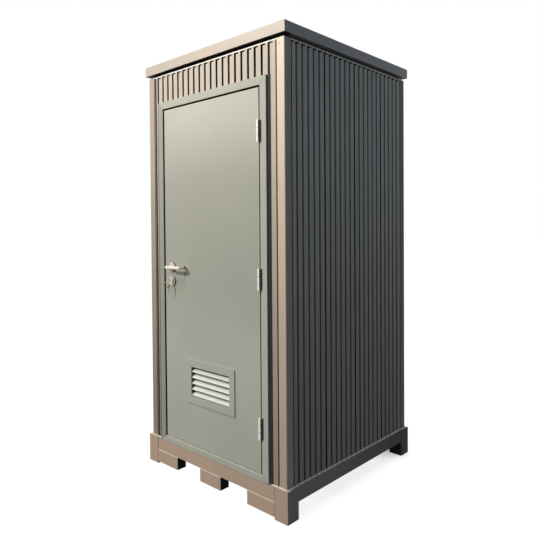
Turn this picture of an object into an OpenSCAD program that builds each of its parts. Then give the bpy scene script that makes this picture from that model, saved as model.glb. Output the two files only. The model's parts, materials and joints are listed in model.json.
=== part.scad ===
// Portable restroom cabin: a ribbed box on a skid base, with a framed door that opens outwards,
// a louvre low in the door and a lever handle. Millimetres, +Z up, the front faces -Y.
// The origin is on the ground, under the middle of the whole box, the lever's reach included.

/* [Overall] */
// Width of the base and of the roof along X
body_w = 1060; // [960:2:1300]
// Depth of the base and of the roof along Y
body_d = 1132; // [960:2:1400]
// Height from the ground to the top of the roof
body_h = 2300; // [2200:2:2600]

/* [Base] */
// Height of the base
base_h = 152; // [130:1:190]
// Side of the square corner blocks
corner_side = 80; // [72:1:100]
// Height of the rails between the corner blocks
rail_h = 70; // [50:1:90]
// Set-back of the rails from the faces of the blocks
rail_in = 2; // [1:0.5:4]
// Width of the skid block under the middle of the front rail
skid_mid_w = 159; // [120:1:180]
// Width of the skid blocks beside the corner blocks
skid_side_w = 179; // [120:1:200]
// Depth of the skid blocks
skid_d = 60; // [40:1:70]
// Height of the skid blocks above the ground
skid_lift = 12; // [4:1:20]
// Thickness of the floor panel
floor_t = 18; // [12:1:24]

/* [Walls] */
// Set-back of the walls from the edges of the base and roof
wall_in = 14; // [12:1:20]
// Thickness of the wall panels, ribs included
wall_t = 46; // [36:1:56]
// Width of the corner posts on each face
post_w = 46; // [36:1:56]
// Bevel on the outer edge of the corner posts
post_bevel = 3; // [1:0.5:6]
// Spacing aimed at for the ribs
rib_pitch = 44; // [36:1:60]
// Depth of the ribs
rib_depth = 13; // [8:0.5:16]
// Width of a groove between ribs at its floor
groove_floor = 10; // [5:0.5:13]
// Width of the sloping side of a rib
rib_slope = 2; // [1:0.5:5]
// Width of the groove beside a post at its floor
post_groove = 6; // [4:0.5:10]
// Offset of the ribs from the middle of a wall, to the left seen from outside
rib_shift = 4; // [0:0.5:8]
// Height of the notch at the upper end of each rib
notch_h = 9; // [4:0.5:12]
// Share of the rib's width that the notch takes
notch_share = 0.5; // [0.3:0.05:0.6]
// Height of the strip under the eaves
eaves_h = 6; // [5:0.5:14]
// Thickness of the strip under the eaves
eaves_t = 8; // [5:0.5:10]
// Height of the open band between the walls and the roof
eaves_gap = 14; // [8:1:20]
// Depth of the open band
eaves_recess = 24; // [16:1:30]

/* [Roof] */
// Height of the roof edge
fascia_h = 52; // [40:1:70]
// Thickness of the roof cap
roof_skin = 6; // [3:0.5:10]

/* [Door] */
// Width of the wall between a corner post and the door frame
strip_w = 57; // [30:1:90]
// Height of the wall over the door frame, up to the roof
transom_h = 171; // [120:1:220]
// Width of the frame's face
frame_face = 40; // [34:1:46]
// Height of the sill
sill_h = 31; // [26:1:38]
// Thickness of the door leaf
leaf_t = 40; // [34:1:42]
// Set-back of the leaf from the face of the frame
leaf_in = 4; // [2:0.5:5]
// Gap along the two upright edges of the leaf
gap_side = 10; // [8:0.1:12]
// Gap over and under the leaf
gap_end = 9; // [6:0.5:12]
// Gap between the back of the leaf and the stop
gap_stop = 5; // [5:0.5:8]
// Reach of the stop into the doorway
stop_reach = 14; // [12:1:20]

/* [Louvre] */
// Outer width of the louvre frame
vent_w = 368; // [320:2:420]
// Outer height of the louvre frame
vent_h = 238; // [210:2:270]
// Width of the louvre frame's border at the sides
vent_side = 36; // [28:1:44]
// Width of the louvre frame's border at the top and bottom
vent_end = 40; // [30:1:46]
// Height of the louvre's middle above the bottom of the leaf
vent_up = 345; // [280:1:420]
// Offset of the louvre from the middle of the leaf, towards the hinges
vent_x = 5; // [-20:1:20]
// Thickness of the louvre frame
vent_t = 5.5; // [4:0.5:10]
// Number of slats
slat_count = 5; // [4:1:6]
// Thickness of a slat
slat_t = 2.5; // [1.5:0.5:4]
// Tilt of the slats from level, outer edge down
slat_tilt = 42; // [35:1:50]

/* [Hinges] */
// Height of the lower hinge's middle above the bottom of the leaf
hinge_low = 216; // [160:1:260]
// Distance of the upper hinge's middle below the top of the leaf
hinge_high = 208; // [160:1:260]
// Height of the middle hinge above the point halfway between the others
hinge_mid = 4; // [-40:1:40]
// Length of a hinge
hinge_l = 102; // [80:1:120]
// Diameter of a hinge barrel
hinge_d = 14; // [12:0.5:18]
// Diameter of a hinge pin
pin_d = 7; // [5:0.5:8]
// Thickness of a hinge plate
hinge_plate = 2.5; // [2:0.1:2.6]
// Depth of a hinge plate along the edge of the leaf
hinge_reach = 26; // [20:1:34]
// Distance of the hinge barrels from the face of the frame
hinge_stand = 1; // [0.5:0.1:2]
// Clearance of the hinge knuckles
hinge_gap = 0.4; // [0.3:0.1:0.8]

/* [Lever and lock] */
// Height of the lever above the bottom of the leaf
lever_up = 958; // [880:1:1040]
// Distance of the lever's spindle from the leaf's edge
backset = 64; // [56:1:80]
// Distance of the lock below the lever
lock_drop = 76; // [72:1:90]
// Diameter of the roses
rose_d = 52; // [44:1:56]
// Thickness of the roses
rose_t = 8; // [6:0.5:12]
// Diameter of the lever's bar
lever_d = 18; // [12:0.5:20]
// Length of the lever from its spindle to its end
lever_l = 119; // [100:1:140]
// Distance of the lever's bar from the leaf
lever_out = 51; // [48:1:64]
// Radius on the inside of the lever's bends
lever_bend = 1; // [0.5:0.5:6]
// Gap between the lever's returned end and the leaf
lever_tip_gap = 10; // [6:0.5:14]
// Side of the square spindle
spindle_side = 8; // [6:0.5:9]
// Running clearance of the lever in its rose
lever_gap = 0.5; // [0.3:0.1:1]
// Diameter of the lock cylinder
cylinder_d = 28; // [22:1:32]
// Reach of the lock cylinder past its rose
cylinder_out = 6; // [3:0.5:10]
// Diameter of a key's bow
bow_d = 23; // [18:0.5:26]
// Thickness of a key
key_t = 2.4; // [1.6:0.1:3]
// Length of a key's blade
blade_l = 31; // [26:1:38]
// Width of a key's blade
blade_w = 8; // [6:0.5:9]
// Diameter of the key ring to the middle of its wire
ring_d = 19; // [17:0.5:24]
// Diameter of the key ring's wire
wire_d = 2; // [1.5:0.1:2.4]
// Clearance of the key ring in a key's hole
ring_gap = 0.3; // [0.2:0.1:0.6]

/* [Hidden] */

$fn = 64;
eps = 1;

half_w = body_w / 2;
half_d = body_d / 2;
wall_x = half_w - wall_in;
wall_y = half_d - wall_in;
in_x = wall_x - wall_t;
in_y = wall_y - wall_t;
post_x = wall_x - post_w;
post_y = wall_y - post_w;
roof_z = body_h - fascia_h;
band_z = roof_z - eaves_gap;
rib_top = band_z - eaves_h;
rail_z = base_h - rail_h;
rail_x = half_w - corner_side;
rail_y = half_d - corner_side;

frame_x = post_x - strip_w;
frame_y = -half_d;
frame_z = roof_z - transom_h;
door_x = frame_x - frame_face;
door_z = frame_z - frame_face;
sill_z = base_h + sill_h;

leaf_x = door_x - gap_side;
leaf_y = frame_y + leaf_in;
leaf_z = sill_z + gap_end;
leaf_h = door_z - gap_end - leaf_z;
back_y = leaf_y + leaf_t;
stop_y = back_y + gap_stop;

hinge_x = leaf_x + gap_side / 2;
hinge_y = frame_y - hinge_d / 2 - hinge_stand;
hinge_z0 = leaf_z + hinge_low;
hinge_z1 = leaf_z + leaf_h - hinge_high;
hinge_zs = [hinge_z0, (hinge_z0 + hinge_z1) / 2 + hinge_mid, hinge_z1];
knuckle_l = hinge_l / 3;

lever_x = -leaf_x + backset;
lever_z = leaf_z + lever_up;
lock_z = lever_z - lock_drop;
lever_hole_d = lever_d + 2 * lever_gap;

vent_z = leaf_z + vent_up;
hole_w = vent_w - 2 * vent_side;
hole_h = vent_h - 2 * vent_end;
slat_step = hole_h / slat_count;
slat_l = (leaf_t * 0.7) / cos(slat_tilt);

lever_arc = lever_d / 2 + lever_bend;
front_reach = lever_out + lever_d / 2 - leaf_in;
mid_y = front_reach / 2;

key_y = leaf_y - rose_t - cylinder_out;
bow_y = key_y - bow_d / 2 - 1;
bow_hole_d = bow_d * 0.3;
ring_r = ring_d / 2;

// Moves a piece from the middle of the base to the middle of the whole box.
module seat() {
    translate([0, mid_y, 0]) children();
}

// A box given by its low and high corners.
module span(low, high) {
    translate(low) cube(high - low);
}

// A block given by its outline in X and Z, reaching from one Y to another.
module upright(outline, y0, y1) {
    translate([0, y1, 0]) rotate([90, 0, 0]) linear_extrude(y1 - y0) polygon(outline);
}

// A bar along Y.
module bar_y(d, x, z, y0, y1) {
    translate([x, y0, z]) rotate([-90, 0, 0]) cylinder(d = d, h = y1 - y0);
}

// Ribs fill the whole length between two posts, with a groove beside each post.
// The rib faces are at v = 0 and the floors of the grooves at v = rib_depth.
function rib_count(l) = round(l / rib_pitch);
function rib_edge(l, i) = -l / 2 + i * l / rib_count(l) - rib_shift;
function rib_start(l, i) = i == 0 ? -l / 2 + post_groove : rib_edge(l, i) + groove_floor / 2;
function rib_end(l, i) = i == rib_count(l) - 1 ? l / 2 - post_groove : rib_edge(l, i + 1) - groove_floor / 2;
function rib_points(l) = [
    for (i = [0 : rib_count(l) - 1]) each [
        [rib_start(l, i), rib_depth], [rib_start(l, i) + rib_slope, 0],
        [rib_end(l, i) - rib_slope, 0], [rib_end(l, i), rib_depth]
    ]
];

// A ribbed wall panel seen from outside: v = 0 is the face of the ribs and +v goes inwards.
// The upper ends of the ribs are notched, and the panel is set back under the roof.
module panel(l) {
    difference() {
        translate([0, 0, base_h]) linear_extrude(roof_z - base_h)
            polygon(concat(
                [[-l / 2, wall_t], [-l / 2, rib_depth]], rib_points(l), [[l / 2, rib_depth], [l / 2, wall_t]]
            ));
        span([-l / 2 - eps, -eps, band_z], [l / 2 + eps, eaves_recess, roof_z + eps]);
        span([-l / 2 - eps, -eps, rib_top], [l / 2 + eps, eaves_t, band_z + eps]);
        for (i = [0 : rib_count(l) - 1])
            span([rib_start(l, i) - eps, -eps, rib_top - notch_h],
                 [rib_start(l, i) + notch_share * (rib_end(l, i) - rib_start(l, i)), eaves_t, rib_top + eps]);
    }
}

// The strip that covers the upper ends of the ribs.
module eaves(l) {
    span([-l / 2, 0, rib_top], [l / 2, eaves_t, band_z]);
}

module on_front() {
    translate([0, -wall_y, 0]) children();
}

module on_back() {
    rotate([0, 0, 180]) translate([0, -wall_y, 0]) children();
}

module on_left() {
    rotate([0, 0, -90]) translate([0, -wall_x, 0]) children();
}

module on_right() {
    rotate([0, 0, 90]) translate([0, -wall_x, 0]) children();
}

module corner_blocks() {
    color([0.55, 0.50, 0.44]) seat()
        for (sx = [-1, 1], sy = [-1, 1])
            translate([sx * (half_w - corner_side / 2), sy * (half_d - corner_side / 2), base_h / 2])
                cube([corner_side, corner_side, base_h], center = true);
}

module front_rail() {
    color([0.55, 0.50, 0.44]) seat() span([-rail_x, -half_d + rail_in, rail_z], [rail_x, -rail_y, base_h]);
}

module back_rail() {
    color([0.55, 0.50, 0.44]) seat() span([-rail_x, rail_y, rail_z], [rail_x, half_d - rail_in, base_h]);
}

module left_rail() {
    color([0.55, 0.50, 0.44]) seat() span([-half_w + rail_in, -rail_y, rail_z], [-rail_x, rail_y, base_h]);
}

module right_rail() {
    color([0.55, 0.50, 0.44]) seat() span([rail_x, -rail_y, rail_z], [half_w - rail_in, rail_y, base_h]);
}

// Three short blocks under a rail, with two lifting pockets between them.
module skid_row() {
    span([-rail_x, -half_d, skid_lift], [-rail_x + skid_side_w, -half_d + skid_d, rail_z]);
    span([-skid_mid_w / 2, -half_d, skid_lift], [skid_mid_w / 2, -half_d + skid_d, rail_z]);
    span([rail_x - skid_side_w, -half_d, skid_lift], [rail_x, -half_d + skid_d, rail_z]);
}

module front_skid_blocks() {
    color([0.55, 0.50, 0.44]) seat() skid_row();
}

module back_skid_blocks() {
    color([0.55, 0.50, 0.44]) seat() rotate([0, 0, 180]) skid_row();
}

module floor_panel() {
    color([0.35, 0.34, 0.33]) seat() span([-in_x, -in_y, base_h], [in_x, in_y, base_h + floor_t]);
}

// A post in the corner, with its outer edge bevelled and a thinner neck under the roof.
module post(sx, sy) {
    b = post_bevel;
    n = eaves_recess;
    translate([0, 0, base_h]) linear_extrude(band_z - base_h)
        polygon([
            [sx * post_x, sy * post_y], [sx * wall_x, sy * post_y], [sx * wall_x, sy * (wall_y - b)],
            [sx * (wall_x - b), sy * wall_y], [sx * post_x, sy * wall_y]
        ]);
    translate([0, 0, band_z]) linear_extrude(roof_z - band_z)
        polygon([
            [sx * post_x, sy * post_y], [sx * (wall_x - n), sy * post_y],
            [sx * (wall_x - n), sy * (wall_y - n)], [sx * post_x, sy * (wall_y - n)]
        ]);
}

module front_left_post() {
    color([0.75, 0.68, 0.60]) seat() post(-1, -1);
}

module front_right_post() {
    color([0.75, 0.68, 0.60]) seat() post(1, -1);
}

module back_left_post() {
    color([0.75, 0.68, 0.60]) seat() post(-1, 1);
}

module back_right_post() {
    color([0.75, 0.68, 0.60]) seat() post(1, 1);
}

// The front panel between two X values and above one Z value.
module front_part(x0, x1, z0) {
    intersection() {
        on_front() panel(2 * post_x);
        span([x0, -wall_y - eps, z0], [x1, -wall_y + wall_t + eps, roof_z + eps]);
    }
}

module front_wall_left() {
    color([0.72, 0.66, 0.58]) seat() front_part(-post_x, -frame_x, base_h);
}

module front_wall_right() {
    color([0.72, 0.66, 0.58]) seat() front_part(frame_x, post_x, base_h);
}

module front_wall_head() {
    color([0.72, 0.66, 0.58]) seat() front_part(-frame_x, frame_x, frame_z);
}

module left_wall() {
    color([0.36, 0.36, 0.37]) seat() on_left() panel(2 * post_y);
}

module right_wall() {
    color([0.36, 0.36, 0.37]) seat() on_right() panel(2 * post_y);
}

module back_wall() {
    color([0.36, 0.36, 0.37]) seat() on_back() panel(2 * post_x);
}

module front_eaves_strip() {
    color([0.80, 0.75, 0.68]) seat() on_front() eaves(2 * post_x);
}

module back_eaves_strip() {
    color([0.80, 0.75, 0.68]) seat() on_back() eaves(2 * post_x);
}

module left_eaves_strip() {
    color([0.80, 0.75, 0.68]) seat() on_left() eaves(2 * post_y);
}

module right_eaves_strip() {
    color([0.80, 0.75, 0.68]) seat() on_right() eaves(2 * post_y);
}

// The space inside the roof cap, from one height up to the cap's underside.
module roof_core(z0) {
    x = half_w - roof_skin;
    y = half_d - roof_skin;
    span([-x, -y, z0], [x, y, body_h - roof_skin]);
}

module ceiling_panel() {
    color([0.70, 0.70, 0.68]) seat() roof_core(roof_z);
}

module roof_cap() {
    color([0.70, 0.66, 0.60]) seat()
        difference() {
            span([-half_w, -half_d, roof_z], [half_w, half_d, body_h]);
            roof_core(roof_z - eps);
        }
}

// One upright of the frame with its stop, its ends cut on the mitre; side is -1 or 1.
module jamb(side) {
    o = side * frame_x;
    d = side * door_x;
    r = side * (door_x - stop_reach);
    upright([[o, base_h], [d, sill_z], [d, door_z], [o, frame_z]], frame_y, -in_y);
    upright([[d, sill_z], [r, sill_z + stop_reach], [r, door_z - stop_reach], [d, door_z]], stop_y, -in_y);
}

module frame_left_jamb() {
    color([0.65, 0.66, 0.61]) seat() jamb(-1);
}

module frame_right_jamb() {
    color([0.65, 0.66, 0.61]) seat() jamb(1);
}

// The head or the sill: outer and inner heights, with the stop on the inner edge.
module cross_piece(z_out, z_in, z_stop) {
    upright([[-frame_x, z_out], [-door_x, z_in], [door_x, z_in], [frame_x, z_out]], frame_y, -in_y);
    r = door_x - stop_reach;
    upright([[-door_x, z_in], [-r, z_stop], [r, z_stop], [door_x, z_in]], stop_y, -in_y);
}

module frame_head() {
    color([0.65, 0.66, 0.61]) seat() cross_piece(frame_z, door_z, door_z - stop_reach);
}

module frame_sill() {
    color([0.65, 0.66, 0.61]) seat() cross_piece(base_h, sill_z, sill_z + stop_reach);
}

// The fixed half of a hinge: a plate on the jamb, the upper and lower knuckles and the pin.
module hinge_frame_half() {
    difference() {
        translate([hinge_x, hinge_y, -hinge_l / 2]) cylinder(d = hinge_d, h = hinge_l);
        translate([hinge_x, hinge_y, 0]) cube([2 * hinge_d, 2 * hinge_d, knuckle_l], center = true);
    }
    translate([hinge_x, hinge_y, -hinge_l / 2]) cylinder(d = pin_d, h = hinge_l);
    difference() {
        span([door_x - hinge_plate, hinge_y, -hinge_l / 2], [door_x, leaf_y + hinge_reach, hinge_l / 2]);
        translate([hinge_x, hinge_y, -knuckle_l / 2])
            cylinder(d = hinge_d + 2 * hinge_gap, h = knuckle_l);
    }
}

module hinge_frame_leaves() {
    color([0.85, 0.84, 0.80]) seat()
        for (z = hinge_zs)
            translate([0, 0, z]) hinge_frame_half();
}

// The moving half of a hinge: a plate on the leaf's edge and the middle knuckle round the pin.
module hinge_door_half() {
    k = knuckle_l - 2 * hinge_gap;
    difference() {
        union() {
            translate([hinge_x, hinge_y, -k / 2]) cylinder(d = hinge_d, h = k);
            span([leaf_x, hinge_y, -k / 2], [leaf_x + hinge_plate, leaf_y + hinge_reach, k / 2]);
        }
        translate([hinge_x, hinge_y, -hinge_l / 2]) cylinder(d = pin_d + 2 * hinge_gap, h = hinge_l);
    }
}

module hinge_door_leaves() {
    color([0.85, 0.84, 0.80]) seat()
        for (z = hinge_zs)
            translate([0, 0, z]) hinge_door_half();
}

// A box round the middle of the louvre: its width and height, from one Y to another.
module vent_block(w, h, y0, y1) {
    span([vent_x - w / 2, y0, vent_z - h / 2], [vent_x + w / 2, y1, vent_z + h / 2]);
}

module door_leaf() {
    color([0.62, 0.63, 0.57]) seat()
        difference() {
            span([-leaf_x, leaf_y, leaf_z], [leaf_x, back_y, leaf_z + leaf_h]);
            vent_block(hole_w, hole_h, leaf_y - eps, back_y + eps);
            bar_y(lever_hole_d, lever_x, lever_z, leaf_y - eps, back_y + eps);
            bar_y(cylinder_d, lever_x, lock_z, leaf_y - eps, back_y + eps);
        }
}

module vent_frame() {
    color([0.62, 0.63, 0.57]) seat()
        difference() {
            vent_block(vent_w, vent_h, leaf_y - vent_t, leaf_y);
            vent_block(hole_w, hole_h, leaf_y - vent_t - eps, leaf_y + eps);
        }
}

// Sloping slats that reach from side to side of the hole, outer edge down.
module vent_slats() {
    color([0.95, 0.94, 0.90]) seat()
        for (i = [0 : slat_count - 1])
            translate([vent_x, leaf_y, vent_z - hole_h / 2 + i * slat_step + slat_t])
                rotate([slat_tilt, 0, 0])
                    translate([-hole_w / 2, 0, 0]) cube([hole_w, slat_l, slat_t]);
}

// A rose on the outer or inner face of the leaf; sy is -1 outside and 1 inside.
module rose(z, bore, sy) {
    y0 = sy < 0 ? leaf_y - rose_t : back_y;
    difference() {
        bar_y(rose_d, lever_x, z, y0, y0 + rose_t);
        bar_y(bore, lever_x, z, y0 - eps, y0 + rose_t + eps);
    }
}

module outer_lever_rose() {
    color([0.80, 0.79, 0.76]) seat() rose(lever_z, lever_hole_d, -1);
}

module inner_lever_rose() {
    color([0.80, 0.79, 0.76]) seat() rose(lever_z, lever_hole_d, 1);
}

// A lever with its foot at the origin: up the neck along -Y, along +X and back towards the leaf.
module lever_bar() {
    neck = lever_out - lever_arc;
    run = lever_l - lever_d / 2 - 2 * lever_arc;
    tip = lever_out - lever_arc - lever_tip_gap;
    rotate([90, 0, 0]) cylinder(d = lever_d, h = neck);
    translate([lever_arc, -neck, 0]) rotate([0, 0, 180]) rotate_extrude(angle = 90)
        translate([lever_arc, 0]) circle(d = lever_d);
    translate([lever_arc, -lever_out, 0]) rotate([0, 90, 0]) cylinder(d = lever_d, h = run);
    translate([lever_arc + run, -neck, 0]) rotate([0, 0, -90]) rotate_extrude(angle = 90)
        translate([lever_arc, 0]) circle(d = lever_d);
    translate([2 * lever_arc + run, -neck, 0]) rotate([-90, 0, 0]) cylinder(d = lever_d, h = tip);
}

module outer_lever() {
    color([0.80, 0.79, 0.76]) seat() translate([lever_x, leaf_y, lever_z]) lever_bar();
}

module inner_lever() {
    color([0.80, 0.79, 0.76]) seat() translate([lever_x, back_y, lever_z]) mirror([0, 1, 0]) lever_bar();
}

module lever_spindle() {
    color([0.60, 0.60, 0.60]) seat()
        span([lever_x - spindle_side / 2, leaf_y, lever_z - spindle_side / 2],
             [lever_x + spindle_side / 2, back_y, lever_z + spindle_side / 2]);
}

module outer_lock_rose() {
    color([0.80, 0.79, 0.76]) seat() rose(lock_z, cylinder_d, -1);
}

module inner_lock_rose() {
    color([0.80, 0.79, 0.76]) seat() rose(lock_z, cylinder_d, 1);
}

module lock_cylinder() {
    color([0.78, 0.74, 0.62]) seat()
        bar_y(cylinder_d, lever_x, lock_z, leaf_y - rose_t - cylinder_out, back_y + rose_t);
}

// A flat key in the plane X = 0: its bow round the origin, its blade along +Y.
module key() {
    difference() {
        rotate([0, 90, 0]) cylinder(d = bow_d, h = key_t, center = true);
        translate([0, -bow_d * 0.25, 0]) rotate([0, 90, 0])
            cylinder(d = bow_hole_d, h = 2 * key_t, center = true);
    }
    translate([-key_t / 2, bow_d * 0.45, -blade_w / 2]) cube([key_t, blade_l, blade_w]);
}

module lock_key() {
    color([0.80, 0.78, 0.72]) seat()
        difference() {
            translate([lever_x, bow_y, lock_z]) key();
            span([lever_x - key_t, key_y, lock_z - blade_w], [lever_x + key_t, back_y, lock_z + blade_w]);
        }
}

// The ring through the lock key's bow with a second key hanging on it.
module spare_key() {
    ring_y = bow_y - bow_d * 0.25;
    hang = (bow_hole_d - wire_d) / 2 - ring_gap;
    ring_z = lock_z - hang - ring_r;
    color([0.72, 0.68, 0.58]) seat() {
        translate([lever_x, ring_y, ring_z]) rotate([90, 0, 0]) rotate_extrude()
            translate([ring_r, 0]) circle(d = wire_d);
        translate([lever_x, ring_y, ring_z - ring_r - hang - bow_d * 0.25])
            rotate([-90, 0, 0]) key();
    }
}

corner_blocks();
front_rail();
back_rail();
left_rail();
right_rail();
front_skid_blocks();
back_skid_blocks();
floor_panel();
front_left_post();
front_right_post();
back_left_post();
back_right_post();
front_wall_left();
front_wall_right();
front_wall_head();
left_wall();
right_wall();
back_wall();
front_eaves_strip();
back_eaves_strip();
left_eaves_strip();
right_eaves_strip();
ceiling_panel();
roof_cap();
frame_left_jamb();
frame_right_jamb();
frame_head();
frame_sill();
hinge_frame_leaves();
hinge_door_leaves();
door_leaf();
vent_frame();
vent_slats();
outer_lever_rose();
inner_lever_rose();
outer_lever();
inner_lever();
lever_spindle();
outer_lock_rose();
inner_lock_rose();
lock_cylinder();
lock_key();
spare_key();
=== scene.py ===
# %% [markdown]
# # A portable restroom, dressed for its picture
# The cabin comes in as a packed model with every wall, rail and hinge at its real size in metres. This
# lesson puts a camera and lamps round it, paints each piece with procedural materials and adds the small
# things that a metalworker adds last: rivets, weld beads, sealant and rubber seals.

# %% The frame
import json
import math

import bmesh
import bpy
import numpy as np
from mathutils import Matrix, Vector


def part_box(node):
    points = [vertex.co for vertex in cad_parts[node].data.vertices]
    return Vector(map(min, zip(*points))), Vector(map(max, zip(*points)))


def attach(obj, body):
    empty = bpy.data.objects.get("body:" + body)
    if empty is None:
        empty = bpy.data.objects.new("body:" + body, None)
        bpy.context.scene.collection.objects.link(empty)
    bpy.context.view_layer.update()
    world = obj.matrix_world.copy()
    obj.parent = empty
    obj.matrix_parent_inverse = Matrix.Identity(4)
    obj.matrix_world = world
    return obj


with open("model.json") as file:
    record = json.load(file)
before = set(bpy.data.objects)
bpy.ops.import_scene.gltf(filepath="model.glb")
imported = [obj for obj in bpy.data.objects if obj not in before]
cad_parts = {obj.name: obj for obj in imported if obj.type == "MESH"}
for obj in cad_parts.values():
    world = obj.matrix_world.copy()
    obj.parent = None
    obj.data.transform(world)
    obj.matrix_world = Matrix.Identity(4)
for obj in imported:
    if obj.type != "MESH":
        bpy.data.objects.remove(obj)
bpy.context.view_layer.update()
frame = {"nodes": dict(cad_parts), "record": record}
nodes = frame["nodes"]

# %% [markdown]
# ## The camera
# A photographer stood a little right of the cabin's front corner, with the lens at eye level and almost
# level. The eye, the three turns and the focal length below are the ones that put the corners of the
# roof, base and door where the photograph has them. The lens is slightly shifted, because the picture is
# a crop.

# %% Camera
FRAME_PX = 540
FOCAL_PX = 544.5
CENTRE_PX = (246.05, 238.6)
SENSOR_MM = 36
YAW, PITCH, ROLL = (math.radians(a) for a in (44.24, -1.119, -0.465))
base_low, base_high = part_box("corner_blocks")
base_y = (base_low.y + base_high.y) / 2
EYE = Vector((2.118, base_y - 2.4555, 1.3637))

forward = Vector((-math.sin(YAW) * math.cos(PITCH), math.cos(YAW) * math.cos(PITCH), math.sin(PITCH)))
level = Vector((math.cos(YAW), math.sin(YAW), 0))
upward = level.cross(forward)
right = math.cos(ROLL) * level + math.sin(ROLL) * upward
top = math.cos(ROLL) * upward - math.sin(ROLL) * level

lens = bpy.data.cameras.new("photo_lens")
lens.sensor_width = SENSOR_MM
lens.lens = FOCAL_PX / FRAME_PX * SENSOR_MM
lens.shift_x = (FRAME_PX / 2 - CENTRE_PX[0]) / FRAME_PX
lens.shift_y = (CENTRE_PX[1] - FRAME_PX / 2) / FRAME_PX
scene = bpy.context.scene
camera = bpy.data.objects.new("photo_camera", lens)
bpy.context.collection.objects.link(camera)
camera.matrix_world = Matrix.Translation(EYE) @ Matrix((right, top, -forward)).transposed().to_4x4()
scene.camera = camera
print("lens mm", round(lens.lens, 2), "shift", round(lens.shift_x, 3), round(lens.shift_y, 3))

# %% [markdown]
# ## Light
# The lever's shadow falls to the right and down on the door, so the main lamp is up on the left in front
# of the cabin and far enough to light it evenly. A small one over the front makes the top of the door
# brighter than its foot. The right side sees only a weak cool sky, and a lamp behind on the left lights
# the two sides that this picture doesn't show.

# %% Lamps
scene.view_settings.view_transform = "Standard"


def lamp(name, place, aim, watts, size, colour):
    """A square soft lamp at a place, turned towards the point that it aims at."""
    data = bpy.data.lights.new(name, "AREA")
    data.energy, data.size, data.color = watts, size, colour
    thing = bpy.data.objects.new(name, data)
    bpy.context.collection.objects.link(thing)
    place = Vector(place)
    turn = (Vector(aim) - place).to_track_quat("-Z", "Y")
    thing.matrix_world = Matrix.Translation(place) @ turn.to_matrix().to_4x4()


lamp("key", (-4.07, -7.15, 5.40), (0.0, -0.54, 1.30), watts=497, size=0.45, colour=(1.0, 0.90, 0.78))
lamp("top", (0.05, -1.75, 3.10), (0.0, -0.54, 1.00), watts=17, size=0.6, colour=(1.0, 0.92, 0.82))
lamp("back", (-2.6, 2.7, 2.6), (0.0, 0.0, 1.1), watts=95, size=1.2, colour=(1.0, 0.97, 0.93))

# %% [markdown]
# ## Formulas as nodes
# A material is a small formula over the surface. The class below wraps one socket of a node tree, so that
# the formulas can be written with plus and times signs, and each sign adds one node.


# %% Socket arithmetic
class Wire:
    """One socket of a node tree. Arithmetic on it adds Math nodes; add() makes any other node."""

    def __init__(self, tree, socket=None):
        self.tree, self.socket = tree, socket

    def add(self, kind, links, output=0, **settings):
        """Makes a node, sets its properties, fills its inputs and gives the chosen output."""
        node = self.tree.nodes.new(kind)
        for name, value in settings.items():
            setattr(node, name, value)
        for name, value in links.items():
            if isinstance(value, Wire):
                self.tree.links.new(value.socket, node.inputs[name])
            else:
                node.inputs[name].default_value = value
        return Wire(self.tree, node.outputs[output])

    def math(self, operation, *others):
        return self.add("ShaderNodeMath", dict(enumerate((self,) + others)), operation=operation)

    def __add__(self, other):
        return self.math("ADD", other)

    def __sub__(self, other):
        return self.math("SUBTRACT", other)

    def __rsub__(self, other):
        return self * -1 + other

    def __mul__(self, other):
        return self.math("MULTIPLY", other)

    def __abs__(self):
        return self.math("ABSOLUTE")

    __radd__, __rmul__ = __add__, __mul__

    def ramp(self, low, high):
        """0 below low, 1 above high and a smooth step between; high may be the smaller of the two."""
        limits = {0: self, 1: low, 2: high, 3: 0.0, 4: 1.0}
        return self.add("ShaderNodeMapRange", limits, interpolation_type="SMOOTHSTEP")

    def between(self, low, high, soft):
        """1 from low to high, 0 outside, with soft edges."""
        return self.ramp(low, low + soft) * self.ramp(high + soft, high)

    def blend(self, first, second):
        """Mixes two colours by this factor."""
        return self.add("ShaderNodeMix", {0: self, 6: first, 7: second}, output=2, data_type="RGBA")

    def noise(self, scale, detail=3.0, stretch=(1, 1, 1)):
        """Noise about 0.5 at this vector, with the space stretched along each axis first."""
        spot = self.add("ShaderNodeVectorMath", {0: self, 1: stretch}, operation="MULTIPLY")
        return self.add("ShaderNodeTexNoise", {"Vector": spot, "Scale": scale, "Detail": detail})

    def axes(self):
        """The three numbers of this vector."""
        split = self.add("ShaderNodeSeparateXYZ", {0: self}).socket.node
        return [Wire(self.tree, out) for out in split.outputs]

    def seen(self):
        """1 for rays that show the background: from the camera, off metal and through glass."""
        ways = ("Is Camera Ray", "Is Glossy Ray", "Is Transmission Ray")
        first, *others = (self.add("ShaderNodeLightPath", {}, output=way) for way in ways)
        for other in others:
            first = first.math("MAXIMUM", other)
        return first


print("operators", [name for name in vars(Wire) if name.startswith("__r")])

# %% [markdown]
# ## Colours and materials
# Colours are read off a screen as levels from 0 to 255, and the shader wants them linear. A material's
# recipe gets the place on the piece and gives back the inputs that vary over it. What is the same all
# over is set on the shader itself.


# %% Colour and material
def rgb(*levels):
    """A linear colour from 0 to 255 screen levels."""
    s = np.array(levels, float) / 255
    linear = np.where(s <= 0.04045, s / 12.92, ((s + 0.055) / 1.055) ** 2.4)
    return (*linear.tolist(), 1.0)


def material(name, recipe, **constants):
    """A material whose recipe(place) gives the inputs that vary; constants are set on the shader itself."""
    m = bpy.data.materials.new(name)
    m.use_nodes = True
    tree = m.node_tree
    shader = tree.nodes["Principled BSDF"]
    for key, value in constants.items():
        shader.inputs[key.replace("_", " ")].default_value = value
    place = Wire(tree).add("ShaderNodeTexCoord", {}, output="Object")
    for key, wire in recipe(place).items():
        tree.links.new(wire.socket, shader.inputs[key])
    return m


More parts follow.
